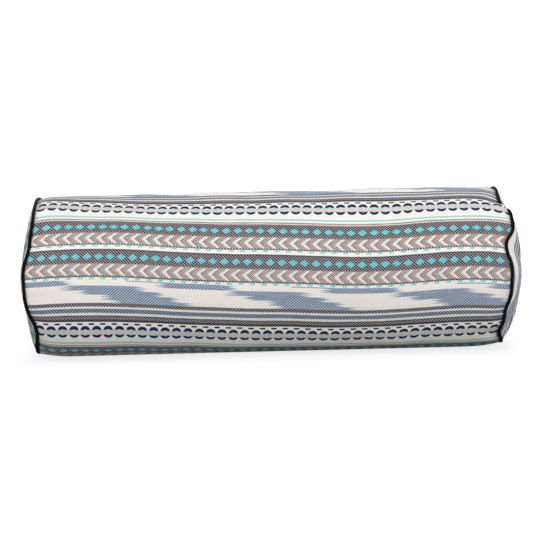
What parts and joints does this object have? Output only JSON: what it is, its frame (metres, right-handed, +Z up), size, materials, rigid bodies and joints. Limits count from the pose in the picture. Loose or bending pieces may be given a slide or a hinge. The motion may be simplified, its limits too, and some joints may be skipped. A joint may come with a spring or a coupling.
{
  "type": "bolster pillow",
  "caption": "Round bolster pillow with a striped woven cover, black piped end seams, softly domed ends, a back zip and a filled inner cushion.",
  "frame": {"origin": "middle of the flat on the underside that the bolster rests on, at floor level", "axes": "+X along the bolster, -Y the front, +Y the back with the zip, +Z up"},
  "size_m": [0.7132, 0.233, 0.2214],
  "materials": {
    "woven_cloth": "matte",
    "black_cloth": "satin",
    "cotton_cord": "matte",
    "zip_tape": "matte",
    "zip_coil": "satin",
    "zip_metal": "satin",
    "muslin": "matte",
    "batting": "matte"
  },
  "bodies": {
    "bolster": {"batting_wrap": "batting", "cover_body": "woven_cloth", "end_panel_left": "woven_cloth", "end_panel_right": "woven_cloth", "end_wad_left": "batting", "end_wad_right": "batting", "fill_core": "batting", "inner_casing_end_left": "muslin", "inner_casing_end_right": "muslin", "inner_casing_tube": "muslin", "piping_casing_left": "black_cloth", "piping_casing_right": "black_cloth", "piping_cord_left": "cotton_cord", "piping_cord_right": "cotton_cord", "zip_bottom_stop": "zip_metal", "zip_tape_lower": "zip_tape", "zip_tape_upper": "zip_tape", "zip_teeth_lower": "zip_coil", "zip_teeth_upper": "zip_coil", "zip_top_stop_lower": "zip_metal", "zip_top_stop_upper": "zip_metal"},
    "slider": {"zip_slider": "zip_metal"},
    "pull_tab": {"zip_pull_tab": "zip_metal"}
  },
  "joints": [
    {"name": "zip_slide", "type": "slide", "parent": "bolster", "child": "slider", "axis": [-1, 0, 0], "range_m": [0, 0.504]},
    {"name": "tab_flip", "type": "hinge", "parent": "slider", "child": "pull_tab", "pos_m": [0.252, 0.11626, 0.10707], "axis": [0, 0, -1], "range_deg": [0, 180]}
  ]
}
